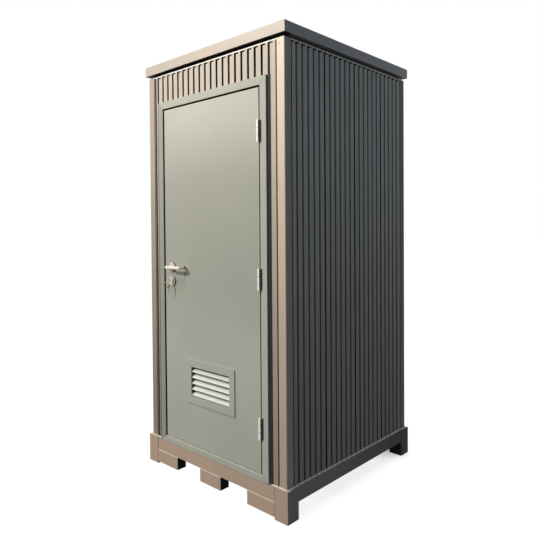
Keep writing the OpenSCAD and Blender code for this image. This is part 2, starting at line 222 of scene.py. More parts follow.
def bare_tree(owner, output_kind):
    """Empties a material's or a world's node tree; gives a first wire and the input of its output."""
    owner.use_nodes = True
    owner.node_tree.nodes.clear()
    output = owner.node_tree.nodes.new(output_kind)
    return Wire(owner.node_tree), output.inputs["Surface"]


print("white is", rgb(255, 255, 255))

# %% [markdown]
# ## Floor
# The cabin stands on a plain pale floor. To the camera the floor is nearly as bright as the background
# and keeps a soft shadow near the base, on the side away from the main lamp: there the nearer the steel,
# the less of the sky reaches the floor. To the rays that carry light from piece to piece it is a dark
# floor, so that it doesn't throw light up under the base.

# %% Floor
FLOOR_HALF = 40
SHADOW_REACH = 0.17
# The way that the main lamp's light goes over the floor
LIGHT_X, LIGHT_Y = 0.52, 0.85

floor_mesh = bpy.data.meshes.new("floor")
floor_corners = [(a * FLOOR_HALF, b * FLOOR_HALF, 0) for a, b in ((-1, -1), (1, -1), (1, 1), (-1, 1))]
floor_mesh.from_pydata(floor_corners, [], [(0, 1, 2, 3)])
floor = bpy.data.objects.new("floor", floor_mesh)
bpy.context.collection.objects.link(floor)

floor_paint = bpy.data.materials.new("floor_paint")
start, surface = bare_tree(floor_paint, "ShaderNodeOutputMaterial")
x, y, z = start.add("ShaderNodeTexCoord", {}, output="Object").axes()
lee = (x * LIGHT_X + (y - base_y) * LIGHT_Y).ramp(-0.40, 0.20)
open_sky = start.add("ShaderNodeAmbientOcclusion", {"Distance": SHADOW_REACH}, output="AO", samples=16)
shadow = (1 - open_sky).ramp(0.18, 0.95) * lee
floor_colour = shadow.blend((1, 1, 1, 1), (0.30, 0.31, 0.32, 1))
glow = start.add("ShaderNodeEmission", {"Color": floor_colour, "Strength": 1.12})
matt = start.add("ShaderNodeBsdfDiffuse", {"Color": (0.85, 0.85, 0.85, 1)})
dark = start.add("ShaderNodeBsdfDiffuse", {"Color": (0.12, 0.12, 0.12, 1)})
pale = start.add("ShaderNodeMixShader", {0: 0.10, 1: glow, 2: matt})
mixed = start.add("ShaderNodeMixShader", {0: start.seen(), 1: dark, 2: pale})
start.tree.links.new(mixed.socket, surface)
floor_mesh.materials.append(floor_paint)
print("floor", 2 * FLOOR_HALF, "m wide, shadow reaches", SHADOW_REACH, "m")

# %% [markdown]
# ## Background
# The camera, and what metal mirrors, sees plain white. The light that falls on the cabin from all round
# is a weak cool sky, which colours the shaded right side. A picture of a sky would show behind the cabin,
# so two plain colours are mixed by the kind of ray instead.

# %% Sky
scene.world = bpy.data.worlds.new("sky")
start, surface = bare_tree(scene.world, "ShaderNodeOutputWorld")
white = start.add("ShaderNodeBackground", {"Color": (1, 1, 1, 1), "Strength": 1.0})
cool = start.add("ShaderNodeBackground", {"Color": (0.76, 0.89, 1.0, 1), "Strength": 0.25})
both = start.add("ShaderNodeMixShader", {0: start.seen(), 1: cool, 2: white})
start.tree.links.new(both.socket, surface)
print("sky nodes", len(start.tree.nodes))

# %% [markdown]
# ## Painted sheet and steel
# The walls, posts and roof are steel with a satin coat. Sprayed paint is never one flat colour: here it is
# painted lighter towards the top as painted light, and it stays duller near the ground; it has broad
# clouds a shade apart, faint runs where rain goes down the sheet, and a fine orange peel that breaks up the
# gloss. Folded edges are never quite sharp, so the shading is rounded over them by a millimetre.

# %% Paint
FOOT_Z, HEAD_Z, DUST_Z = 0.10, 2.25, 0.45
EDGE_RADIUS = 0.0012


def paint(name, foot, head, gloss, runs=0.30, dust=0.20, specular=0.10, zones=()):
    """Satin paint: the colour goes from foot to head with height; clouds, runs, specks and dust darken it.

    zones are rows of a colour, an amount and a function of x, y, z that says where it lies over the paint.
    """

    def recipe(place):
        x, y, z = place.axes()
        # Painted light: the colour gets lighter from the foot to the head.
        colour = z.ramp(FOOT_Z, HEAD_Z).blend(foot, head)
        clouds = place.noise(2.6, detail=4.0).ramp(0.35, 0.70)
        streaks = place.noise(9.0, stretch=(3, 3, 0.16)).ramp(0.50, 0.78)
        specks = place.noise(140.0, detail=2.0).ramp(0.60, 0.75)
        dusty = z.ramp(DUST_Z, 0.02)
        amount = (clouds * 0.30 + streaks * runs + specks * 0.12 + dusty * dust) * 0.36
        colour = amount.blend(colour, tuple(0.5 * c for c in foot[:3]) + (1,))
        patchy = place.noise(60.0) * 0.20 + 0.88
        for tint, share, where in zones:
            colour = (where(x, y, z) * share * patchy).math("MINIMUM", 1.0).blend(colour, tint)
        edge = place.add("ShaderNodeBevel", {"Radius": EDGE_RADIUS}, samples=4)
        peel = place.noise(420.0, detail=2.0) * 0.7 + place.noise(35.0, detail=2.0) * 0.3
        relief = {"Height": peel, "Strength": 0.12, "Distance": 0.0008, "Normal": edge}
        normal = place.add("ShaderNodeBump", relief)
        rough = place.noise(6.0) * 0.16 + (gloss - 0.08)
        return {"Base Color": colour, "Roughness": rough, "Normal": normal}

    return material(name, recipe, IOR=1.45, Specular_IOR_Level=specular)


# Dark colours: one for real joints and painted shade alike, painted shade on the slats, painted shade on
# the base's long sides, and painted shade in the leaf's edges.
DIRT_AND_SHADE, SLAT_SHADE, BASE_SIDE_SHADE, EDGE_SHADE = rgb(14, 13, 12), rgb(140, 137, 122), rgb(148, 145, 142), rgb(40, 41, 42)
# A painted highlight for edges, painted shade across the middle of the door, and painted shade for right
# faces.
EDGE_HIGHLIGHT, DOOR_SHADE, SHADED = rgb(240, 234, 222), rgb(150, 155, 147), rgb(96, 99, 104)
print("dirt is", np.round(DIRT_AND_SHADE, 4).tolist())

# %% [markdown]
# ## Where painted shade sits on the walls
# Painted shade darkens the grooves between the ribs and the band under the roof, where little light
# reaches. The depth below the face of a wall says where that is, so no groove has to be drawn by hand. The
# long walls are made of several sheets, and the groove where two are folded together is the darkest.

# %% Wall zones
band_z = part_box("front_eaves_strip")[1].z
front_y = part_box("front_wall_head")[0].y
back_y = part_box("back_wall")[1].y
side_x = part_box("right_wall")[1].x
frame_low, frame_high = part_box("frame_left_jamb")
# Half the width of a sharp limit, and the depth at which a face ends
HAIR, SKIN = 0.0004, 0.0006
GROOVE_DEPTH, BAND_DEPTH, NOTCH_H = 0.016, 0.028, 0.016
JOINT_START, JOINT_PITCH, JOINT_HALF = 0.49, 0.264, 0.020
LINE_GAP, LINE_W = 0.033, 0.014


# Painted shade: a wall is darkened by how deep a point lies below its rib faces.
def groove_shade(depth, z):
    """1 in the grooves and notches of a wall and in the band over it; depth counts from the rib faces."""
    groove = depth.between(SKIN, GROOVE_DEPTH, 0.0022)
    band = depth.between(SKIN, BAND_DEPTH, 0.001) * z.ramp(band_z - HAIR, band_z + HAIR)
    return groove.math("MAXIMUM", band)


def front_groove_shade(x, y, z):
    """1 in the grooves of the front walls."""
    return groove_shade(y - front_y, z)


# Painted shade: a dark groove line drawn on the wall beside the frame.
def painted_line(x, y, z):
    """1 on the dark upright line left of the door frame, which the modelled rib there misses."""
    line_x = frame_low.x - LINE_GAP
    return x.between(line_x - LINE_W, line_x, 0.001)


def sheet_groove_shade(depth, along, z):
    """Painted shade in the grooves of the long walls: half strength, dark at every sixth rib, where sheets
    fold.

    The notches over the ribs are dark too, and the band above them is darkened only a little.
    """
    joint = (along + JOINT_START).math("PINGPONG", JOINT_PITCH / 2).ramp(JOINT_HALF + 0.004, JOINT_HALF)
    notch = z.ramp(band_z - NOTCH_H - 0.002, band_z - NOTCH_H)
    band = 1 - z.ramp(band_z - HAIR, band_z + HAIR) * 0.65
    return groove_shade(depth, z) * (joint * 0.40 + 0.50).math("MAXIMUM", notch) * band


def side_groove_shade(x, y, z):
    """The grooves of the left and right walls."""
    return sheet_groove_shade(side_x - abs(x), y - base_y, z)


def rear_groove_shade(x, y, z):
    """The grooves of the back wall."""
    return sheet_groove_shade(back_y - y, x, z)


print("rib faces at", round(front_y, 3), round(back_y, 3), round(side_x, 3), "band at", round(band_z, 3))

# %% [markdown]
# ## Wall paints
# All the walls have one warm grey. The long walls and the back are a little greyer than the front and
# mirror less. Each wall has the same coat with its own painted groove shade laid over it, so a formula
# does what a painted picture would have to repeat rib by rib. One dark line of groove shade left of the
# door frame is painted on, because the modelled rib there is about 10 mm out of step with the photograph.

# %% Wall paints
front_finish = dict(foot=rgb(170, 158, 145), head=rgb(209, 202, 192), gloss=0.45)
# Each wall paint below carries painted shade in its grooves.
front_paint = paint("front_paint", zones=[(DIRT_AND_SHADE, 1.0, front_groove_shade)], **front_finish)
strip_paint = paint("strip_paint", zones=[(DIRT_AND_SHADE, 0.72, front_groove_shade)], **front_finish)
line_zones = [(DIRT_AND_SHADE, 1.0, front_groove_shade), (DIRT_AND_SHADE, 1.0, painted_line)]
line_paint = paint("line_paint", zones=line_zones, **front_finish)
wall_finish = dict(foot=rgb(168, 161, 153), head=rgb(212, 208, 203), gloss=0.45, specular=0.03)
side_paint = paint("side_paint", zones=[(DIRT_AND_SHADE, 1.0, side_groove_shade)], **wall_finish)
rear_paint = paint("rear_paint", zones=[(DIRT_AND_SHADE, 1.0, rear_groove_shade)], **wall_finish)
print("wall paints", [m.name for m in (front_paint, strip_paint, line_paint, side_paint, rear_paint)])

# %% [markdown]
# ## Posts and roof
# The posts and the roof's folded edge have a warm grey of their own; the near corner post is lightest, as
# painted light. The right faces of the roof and of the two right posts are cooler and darker in the
# photograph than the lamps make them, so painted shade darkens them: a limit in x picks those faces out.
# The band where the walls go up under the roof is painted black as shade at the front, and less dark on
# the other sides.

# %% Post and roof paints
roof_low, roof_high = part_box("roof_cap")
FRONT_REACH = 0.035


# Painted shade in the recess between the walls and the roof.
def roof_band_shade(x, y, z):
    """1 in the band between walls and roof at the front, less on the other sides."""
    at_front = y.ramp(front_y + FRONT_REACH + 0.010, front_y + FRONT_REACH)
    return z.between(band_z + 0.0002, roof_low.z + HAIR, 0.0006) * (at_front * 0.6 + 0.4)


def right_face(half):
    """A zone on the right outer face of a post or the roof, half a width from the middle."""
    return lambda x, y, z: x.ramp(half - 0.0012, half - HAIR)


post_finish = dict(foot=rgb(160, 147, 133), head=rgb(192, 183, 170), gloss=0.42)
# Painted shade on the right faces and in the band under the roof.
post_zones = [(SHADED, 0.85, right_face(side_x)), (DIRT_AND_SHADE, 1.0, roof_band_shade)]
frame_paint = paint("frame_paint", zones=[(DIRT_AND_SHADE, 1.0, roof_band_shade)], **post_finish)
rear_post_paint = paint("rear_post_paint", zones=post_zones, **post_finish)
# Painted light: the near corner post is painted lighter than the others.
near_lit_paint = paint("near_lit_paint", rgb(192, 176, 158), rgb(228, 216, 200), 0.42, specular=0.40,
                   zones=post_zones)
ROOF_COLOUR, ROOF_SHADED = rgb(192, 184, 174), rgb(98, 106, 121)
roof_paint = paint("roof_paint", ROOF_COLOUR, ROOF_COLOUR, 0.42, specular=0.40,
                   zones=[(ROOF_SHADED, 0.85, right_face(roof_high.x)), (DIRT_AND_SHADE, 1.0, roof_band_shade)])
CEILING_COLOUR = rgb(214, 213, 208)
ceiling_paint = paint("ceiling_paint", CEILING_COLOUR, CEILING_COLOUR, 0.55,
                      zones=[(DIRT_AND_SHADE, 1.0, roof_band_shade)])
print("roof from", round(roof_low.z, 3), "to", round(roof_high.z, 3))

# %% [markdown]
# ## Base
# The base is a welded steel skid, painted a warmer shade. Painted shade greys its long sides, more towards
# the back, and darkens the skid blocks' faces behind the front and back and the inner faces under the
# rails. The joints between rails and corner blocks show as hairlines, and a painted highlight lightens the
# upper edges of the skid blocks. The base stands square to the axes, so each mark is a limit in x, y or z.

# %% Base paints
skid_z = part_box("front_skid_blocks")[1].z
half_w, half_d = base_high.x, base_high.y - base_y
rail_low, rail_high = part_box("front_rail")
SIDE_SHARE, BACK_SHADE_SHARE = 0.85, 0.62


def off_front(x, y, z):
    """1 on what lies behind the front and back faces of the base."""
    return (half_d - abs(y - base_y)).ramp(0.0025, 0.0040)


def base_sides(x, y, z):
    """1 on the long sides of the base."""
    return abs(x).ramp(half_w - 0.004, half_w - 0.0025) * off_front(x, y, z)


def base_joints_and_shade(x, y, z):
    """Hairlines where corner blocks meet rails; painted shade on long sides, deeper to the back, and inner
    faces.
    """
    seam = abs(abs(x) - rail_high.x).ramp(0.0018, 0.0008) * 0.6
    back_shade = base_sides(x, y, z) * (y - base_y).ramp(-0.3, half_d) * (SIDE_SHARE * BACK_SHADE_SHARE)
    below = z.ramp(rail_low.z + 0.002, rail_low.z)
    inner = off_front(x, y, z) * abs(x).ramp(half_w - 0.003, half_w - 0.005) * below * 0.9
    return seam.math("MAXIMUM", back_shade).math("MAXIMUM", inner)


# Painted highlight on the lit upper edge of the skid blocks.
def skid_edge_highlight(x, y, z):
    """1 along the upper edge of the skid blocks."""
    return z.ramp(skid_z - 0.004, skid_z - 0.002)


base_finish = dict(foot=rgb(204, 182, 165), head=rgb(204, 182, 165), gloss=0.50, dust=0.10, specular=0.03)
# Painted shade greys the long sides of the base.
base_zones = [(BASE_SIDE_SHADE, SIDE_SHARE, base_sides), (DIRT_AND_SHADE, 1.0, base_joints_and_shade)]
# The skid blocks also carry painted shade behind their front and back faces, and a painted highlight on
# top.
skid_zones = base_zones + [(DIRT_AND_SHADE, 1.0, off_front), (EDGE_HIGHLIGHT, 1.0, skid_edge_highlight)]
base_paint = paint("base_paint", zones=base_zones, **base_finish)
skid_paint = paint("skid_paint", zones=skid_zones, **base_finish)
print("base", round(2 * half_w, 3), "x", round(2 * half_d, 3), "m, skids up to", round(skid_z, 3))

# %% [markdown]
# ## Door frame
# The frame is a folded steel section, mitred at its corners. The mitres are straight lines in |x| and z,
# so each is one formula. A painted highlight lightens the sill's front edge and the outer edges, and
# painted shade darkens the outer sides of the frame, next to the wall.

# %% Frame zones
leaf_low, leaf_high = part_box("door_leaf")
FACE, SILL_H = 0.040, 0.031
frame_x = -frame_low.x
sill_z = frame_low.z + SILL_H


def mitres(x, y, z):
    """1 on the hairlines where the head, the sill and the jambs meet."""
    side = abs(x) - frame_x
    upper = abs(side - z + frame_high.z)
    lower = abs(side * (SILL_H / FACE) + z - frame_low.z)
    return upper.math("MINIMUM", lower).ramp(0.0014, 0.0005)


# Painted shade on the frame's outer sides.
def frame_side_shade(x, y, z):
    """1 on the outer sides of the door frame."""
    return abs(x).ramp(frame_x - 0.0010, frame_x - HAIR)


# Painted highlight along the frame's outer edges.
def frame_rim_highlight(x, y, z):
    """1 along the outer folded edges of the door frame."""
    return abs(x).between(frame_x - 0.0050, frame_x - 0.0015, 0.001)


# Painted highlight on the sill's lit front edge.
def sill_edge_highlight(x, y, z):
    """1 along the upper front edge of the sill."""
    return z.between(sill_z - 0.0016, sill_z + 0.002, 0.0006) * (y - frame_low.y).ramp(0.0050, 0.0035)


# Painted shade on the gasket's outer lip.
def gasket_lip_shade(x, y, z):
    """1 on the outer lip of the gaskets beside the jambs."""
    return abs(x).ramp(frame_x + 0.0075, frame_x + 0.0090)


print("frame", round(2 * frame_x, 3), "x", round(frame_high.z - frame_low.z, 3), "m")

# %% [markdown]
# ## Hinges
# The photograph shows a black strip beside each hinge: the hinge's shadow on the jamb. It is painted
# here as painted shadow, with painted shade on the flank of each knuckle. The three hinges stand over
# one another, so the gaps between the heights of their points say where each begins and ends.

# %% Hinge zones
hinge_low, hinge_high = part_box("hinge_frame_leaves")
KNUCKLE_R, HINGE_SHADOW_W = 0.007, 0.0155
pin_x, pin_y = (hinge_low.x + hinge_high.x) / 2, hinge_low.y + KNUCKLE_R


def points_of(name):
    """A node's points as rows of x, y and z; its object sits at the origin, so they are in place."""
    vertices = nodes[name].data.vertices
    flat = np.empty(3 * len(vertices), np.float32)
    vertices.foreach_get("co", flat)
    return flat.reshape(-1, 3).astype(float)


def spans(name, gap=0.1):
    """The lowest and the highest z of each copy in a node, where the copies stand well apart."""
    levels = np.unique(np.round(points_of(name)[:, 2], 4))
    breaks = np.flatnonzero(np.diff(levels) > gap)
    return list(zip([levels[0], *levels[breaks + 1]], [*levels[breaks], levels[-1]]))


hinge_spans, knuckle_spans = spans("hinge_frame_leaves"), spans("hinge_door_leaves")


# Painted shadow of each hinge on the jamb.
def hinge_shadow(x, y, z):
    """1 on the face of the jamb just beside each hinge."""
    on_face = y.ramp(frame_low.y + 0.001, frame_low.y + HAIR)
    beside = x.between(pin_x - 0.006, pin_x + HINGE_SHADOW_W, 0.0008) * on_face
    return sum(z.between(low, high, 0.001) for low, high in hinge_spans) * beside


# Painted shade on the knuckles' side away from the light.
def knuckle_flank_shade(x, y, z):
    """1 on the side of the knuckles that looks away from the leaf."""
    return x.ramp(pin_x + 0.0052, pin_x + 0.0062)


def knuckle_joints(x, y, z):
    """1 on the lines between the knuckles of each hinge."""
    return sum(abs(z - joint).ramp(0.0014, 0.0006) for span in knuckle_spans for joint in span)


print("hinges", np.round(hinge_spans, 3).tolist())

# %% [markdown]
# ## Door leaf and louvre
# The leaf is two steel skins; painted shade darkens their narrow edges and the louvre's hole. Painted
# shade dulls a belt across the middle of the leaf, and a painted highlight lightens its folded edge on the
# hinge side. Painted shade lies on the white slats of the louvre where the next slat shades them. Each
# mark is a band in one direction, because the door is modelled shut.


# %% Leaf and slat zones
def mid_leaf_shade(x, y, z):
    """A faint belt of painted shade across the middle of the leaf."""
    return z.between(0.65, 1.55, 0.45)


# Painted highlight on the leaf's folded edge.
def leaf_rim_highlight(x, y, z):
    """1 along the folded edge of the leaf on the hinge side."""
    return x.ramp(leaf_high.x - 0.0045, leaf_high.x - 0.0030)


# Painted shade on the leaf's narrow edges and in the louvre's hole.
def leaf_edge_shade(x, y, z):
    """1 between the two skins of the leaf: on its narrow edges and in the louvre's hole."""
    return y.between(leaf_low.y + SKIN, leaf_high.y - 0.0024, 0.0018)


# Painted shade where the next slat shades each slat.
def slat_shade(x, y, z):
    """1 across the inner part of the slats, under the edge of the next one."""
    return y.between(leaf_low.y + 0.0125, leaf_low.y + 0.0170, 0.0015)


print("leaf", [round(v, 3) for v in leaf_high - leaf_low])

# %% [markdown]
# ## Door paints
# Leaf and frame share one green-grey paint, which is cleaner than the walls': it has no dust and few
# runs. The jambs and the head carry painted shade of their own, to match the photograph: the left jamb is
# darker, and the right jamb and the head darken towards the top.

# %% Door paints
door_finish = dict(foot=rgb(189, 194, 186), head=rgb(200, 204, 197), gloss=0.50,
                   runs=0.06, dust=0.0, specular=0.15)
# Painted shade: the right jamb and the head darken towards the top, and the left jamb is darker.
jamb_shade_finish = {**door_finish, "foot": rgb(194, 199, 191), "head": rgb(186, 190, 183)}
far_shade_finish = {**door_finish, "foot": rgb(160, 164, 157), "head": rgb(170, 174, 168)}
mitre_zone = (DIRT_AND_SHADE, 0.7, mitres)
leaf_zones = [(DOOR_SHADE, 0.48, mid_leaf_shade), (EDGE_HIGHLIGHT, 0.22, leaf_rim_highlight), (EDGE_SHADE, 1.0, leaf_edge_shade)]
jamb_zones = [(EDGE_HIGHLIGHT, 0.16, frame_rim_highlight), mitre_zone, (DIRT_AND_SHADE, 0.56, frame_side_shade), (DIRT_AND_SHADE, 0.88, hinge_shadow)]
door_paint = paint("door_paint", **door_finish)
leaf_paint = paint("leaf_paint", zones=leaf_zones, **door_finish)
jamb_paint = paint("jamb_paint", zones=jamb_zones, **jamb_shade_finish)
far_shade_paint = paint("far_shade_paint", zones=[mitre_zone], **far_shade_finish)
sill_paint = paint("sill_paint", zones=[mitre_zone, (EDGE_HIGHLIGHT, 1.0, sill_edge_highlight)], **door_finish)

# The gaskets' grey is painted shade.
GASKET_GREY, SLAT_WHITE = rgb(110, 113, 114), rgb(247, 252, 249)
seal_paint = paint("seal_paint", GASKET_GREY, GASKET_GREY, 0.60, zones=[(rgb(54, 56, 56), 1.0, gasket_lip_shade)])
slat_paint = paint("slat_paint", SLAT_WHITE, SLAT_WHITE, 0.42, zones=[(SLAT_SHADE, 0.75, slat_shade)])
trim_paint = paint("trim_paint", rgb(250, 249, 244), rgb(252, 251, 247), 0.40, runs=0.05)
print("paints", [m.name for m in bpy.data.materials if m.name.endswith("_paint")])

# %% [markdown]
# ## Bare metal
# The lever, roses, hinges and keys are drawn and brushed metal: fine lines along the brushing direction
# change the gloss from place to place, and stains darken it. On the roses, painted shade and painted
# reflection lie in rings round the axis.


# %% Brushed metal
def brushed(name, colour, shade, gloss, stretch, metal, zones=()):
    """Bare metal: a stretched noise gives brush lines that change colour, gloss and surface a little.

    zones are rows of a colour, an amount and a function of x, y, z, as for the paints.
    """

    def recipe(place):
        lines = place.noise(260.0, stretch=stretch)
        stain = place.noise(55.0).ramp(0.45, 0.80)
        bump = place.add("ShaderNodeBump", {"Height": lines, "Strength": 0.10, "Distance": 0.0003})
        tone = (lines * 0.45 + stain * 0.45).math("MINIMUM", 1.0)
        finish = tone.blend(colour, shade)
        for tint, share, where in zones:
            finish = (where(*place.axes()) * share).blend(finish, tint)
        return {"Base Color": finish, "Roughness": lines * 0.18 + gloss, "Normal": bump}

    return material(name, recipe, Metallic=metal)


def middle(name):
    """The middle of a node's box."""
    low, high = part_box(name)
    return (low + high) / 2


fittings = ("outer_lever", "outer_lever_rose", "outer_lock_rose")
lever_mid, lever_rose, lock_rose = (middle(name) for name in fittings)
RING_SOFT = 0.0012


def ring(centre, low, high):
    """A zone in a ring about an axis along Y: the distance from the axis lies between low and high."""

    def where(x, y, z):
        r = ((x - centre.x) * (x - centre.x) + (z - centre.z) * (z - centre.z)).math("SQRT")
        return r.between(low, high, RING_SOFT)

    return where


def under_lever_shade(x, y, z):
    """1 on the lower part of the lever's rose, where painted shade lies under the lever."""
    return z.ramp(lever_rose.z - 0.004, lever_rose.z - 0.013)


def lever_end_shade(x, y, z):
    """1 on the returned ends of both levers, where painted shade darkens them near the leaf."""
    from_leaf = abs(y - (leaf_low.y + leaf_high.y) / 2) - (leaf_high.y - leaf_low.y) / 2
    return from_leaf.ramp(0.0175, 0.0165) * x.ramp(lever_mid.x + 0.02, lever_mid.x + 0.021)


print("lever", [round(v, 3) for v in lever_mid], "lock", [round(v, 3) for v in lock_rose])

# %% [markdown]
# ## Fittings
# Each fitting has its own metal: the lever is bright steel, the roses are darker, with painted shade in
# rings, the lock's cylinder is pale brass and the keys are dull. The stretch of the noise follows the way
# each was brushed.

# %% Metals
ROSE_SHADE, KNUCKLE_SHADE = rgb(74, 58, 42), rgb(60, 58, 56)
# The lever's returned ends carry painted shade.
lever_steel = brushed("lever_steel", (0.94, 0.89, 0.80, 1), (0.70, 0.64, 0.54, 1), 0.24, (0.05, 1, 1), 0.40,
                      [(DIRT_AND_SHADE, 1.0, lever_end_shade)])
rose_finish = dict(colour=(0.86, 0.80, 0.70, 1), shade=(0.46, 0.38, 0.28, 1), gloss=0.20,
                   stretch=(0.4, 1, 0.4), metal=0.55)
# Painted shade and reflection in rings on the roses, and painted shade under the lever.
rose_steel = brushed("rose_steel", zones=[
    (ROSE_SHADE, 0.9, ring(lever_rose, 0.0245, 0.030)), (ROSE_SHADE, 0.55, ring(lever_rose, 0.0125, 0.0165)),
    (ROSE_SHADE, 0.75, under_lever_shade),
], **rose_finish)
lock_steel = brushed("lock_steel", zones=[
    (ROSE_SHADE, 0.9, ring(lock_rose, 0.0250, 0.030)), (ROSE_SHADE, 0.8, ring(lock_rose, 0.0135, 0.0185)),
], **rose_finish)
cylinder_brass = brushed("cylinder_brass", (0.98, 0.93, 0.84, 1), (0.52, 0.42, 0.29, 1), 0.16,
                         (0.4, 1, 0.4), 0.60)
key_metal = brushed("key_metal", (0.80, 0.74, 0.62, 1), (0.30, 0.25, 0.17, 1), 0.20, (1, 0.1, 0.1), 0.60)
bow_metal = brushed("bow_metal", (0.98, 0.93, 0.83, 1), (0.50, 0.41, 0.29, 1), 0.22, (1, 0.1, 0.1), 0.50)
# The hinges carry painted shade on the flank of each knuckle.
hinge_metal = brushed("hinge_metal", (0.97, 0.94, 0.87, 1), (0.84, 0.79, 0.70, 1), 0.24, (1, 1, 0.05), 0.50,
                      [(KNUCKLE_SHADE, 1.0, knuckle_flank_shade), (DIRT_AND_SHADE, 0.8, knuckle_joints)])
rivet_metal = brushed("rivet_metal", rgb(150, 140, 128), rgb(96, 90, 84), 0.34, (1, 1, 1), 0.6)
print("metals", [m.name for m in bpy.data.materials if m.name.endswith(("_steel", "_metal", "_brass"))])

# %% [markdown]
# ## Rubber, sealant and board
# The seals are black rubber, the sealant is a pale paste that has set, and the floor is a coated board.
# All three are matt with a fine grain, which shows in the colour and in the surface.


# %% Matt materials
def matt_board(name, colour, shade, gloss, scale, specular=0.5):
    """A matt moulded or coated surface: grain at two sizes in colour and bump."""

    def recipe(place):
        grain = place.noise(scale, detail=4.0)
        broad = place.noise(scale / 30)
        bump = place.add("ShaderNodeBump", {"Height": grain, "Strength": 0.35, "Distance": 0.0006})
        tone = (grain * 0.5 + broad * 0.5).ramp(0.35, 0.65)
        return {"Base Color": tone.blend(colour, shade), "Roughness": grain * 0.2 + gloss, "Normal": bump}

    return material(name, recipe, Specular_IOR_Level=specular)


rubber = matt_board("rubber", (0.012, 0.012, 0.013, 1), (0.022, 0.022, 0.022, 1), 0.62, 500.0, specular=0.1)
floor_board = matt_board("floor_board", rgb(96, 95, 93), rgb(78, 77, 76), 0.60, 240.0)
sealant = matt_board("sealant", rgb(250, 248, 243), rgb(236, 231, 221), 0.4, 300.0)
print("matt", rubber.name, floor_board.name, sealant.name)

# %% [markdown]
# ## Who wears what
# The packed record names a material slot for every node, so most nodes take their finish from it. The
# nodes that have marks of their own are named one by one.

# %% Finishes to nodes
by_slot = {
    "front_panel": front_paint, "side_panel": side_paint, "frame_steel": frame_paint,
    "base_steel": base_paint, "door_paint": door_paint, "slat_white": slat_paint,
    "floor_board": floor_board, "ceiling_board": ceiling_paint, "trim_white": trim_paint,
    "hinge_steel": hinge_metal, "lever_steel": lever_steel, "key_metal": key_metal,
}
by_node = {
    "back_wall": rear_paint, "front_wall_right": strip_paint, "front_wall_left": line_paint,
    "front_right_post": near_lit_paint, "back_right_post": rear_post_paint, "roof_cap": roof_paint,
    "front_skid_blocks": skid_paint, "back_skid_blocks": skid_paint, "door_leaf": leaf_paint,
    "frame_sill": sill_paint, "frame_head": jamb_paint,
    "frame_left_jamb": far_shade_paint, "frame_right_jamb": jamb_paint,
    "outer_lever_rose": rose_steel, "inner_lever_rose": rose_steel,
    "outer_lock_rose": lock_steel, "inner_lock_rose": lock_steel,
    "lock_cylinder": cylinder_brass, "lock_key": bow_metal,
}
for part in frame["record"]["subparts"]:
    for place in nodes[part["node"]].material_slots:
        place.material = by_node.get(part["node"], by_slot[part["material_slot"]])

# %% [markdown]
# ## Small pieces as rings
# Every small piece here is a tube: a row of rings, closed at both ends. A rivet is a short one whose
# rings shrink to its top, a bead of sealant is a long one that follows a path. The points of all the
# copies are worked out as one array and become one mesh.

# %% Rings to mesh
SMOOTH_BELOW = math.radians(40)


def piece(name, rings, finish, body="cabin"):
    """A mesh of closed tubes; rings has the shape (copies, rings, points, 3), each ring once round."""
    rings = np.asarray(rings, float)
    spots = np.arange(rings[..., 0].size).reshape(rings.shape[:3])
    ahead = np.roll(spots, -1, axis=2)
    sides = np.stack([spots[:, :-1], ahead[:, :-1], ahead[:, 1:], spots[:, 1:]], axis=-1).reshape(-1, 4)
    ends = np.concatenate([spots[:, 0, ::-1], spots[:, -1]])
    mesh = bpy.data.meshes.new(name)
    mesh.from_pydata(rings.reshape(-1, 3).tolist(), [], sides.tolist() + ends.tolist())
    work = bmesh.new()
    work.from_mesh(mesh)
    bmesh.ops.recalc_face_normals(work, faces=work.faces)
    work.to_mesh(mesh)
    work.free()
    mesh.polygons.foreach_set("use_smooth", [True] * len(mesh.polygons))
    mesh.set_sharp_from_angle(angle=SMOOTH_BELOW)
    mesh.materials.append(finish)
    thing = bpy.data.objects.new(name, mesh)
    bpy.context.collection.objects.link(thing)
    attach(thing, body)
    print(name, "copies", len(rings), "faces", len(mesh.polygons))


def round_angles(sides):
    """Angles that go once round in equal steps."""
    return np.arange(sides) / sides * 2 * np.pi


def turned(spots, facing, profile, sides=16):
    """Turned heads: point = spot + radius (cos a u + sin a w) + height n.

    The profile has rows of radius and height; u and w stand square to n, the way that the head faces.
    """
    spots, profile = np.atleast_2d(np.asarray(spots, float)), np.asarray(profile, float)
    n = np.broadcast_to(np.asarray(facing, float), spots.shape)
    u = np.cross(n, np.where(np.abs(n[:, 2:]) > 0.5, [[1.0, 0, 0]], [[0, 0, 1.0]]))
    w = np.cross(n, u)
    a = round_angles(sides)[None, :, None]
    around = u[:, None] * np.cos(a) + w[:, None] * np.sin(a)
    radius, height = (profile[:, i, None, None] for i in (0, 1))
    return spots[:, None, None] + radius * around[:, None] + height * n[:, None, None]


print("edges are smooth below", round(math.degrees(SMOOTH_BELOW)), "degrees")

# %% [markdown]
# ## Rivets
# The posts are folded plates held by blind rivets at the top, in the middle and near the ground. A
# rivet's head is a low dome on a thin flange, so one profile of radius and height, turned round, makes
# it.

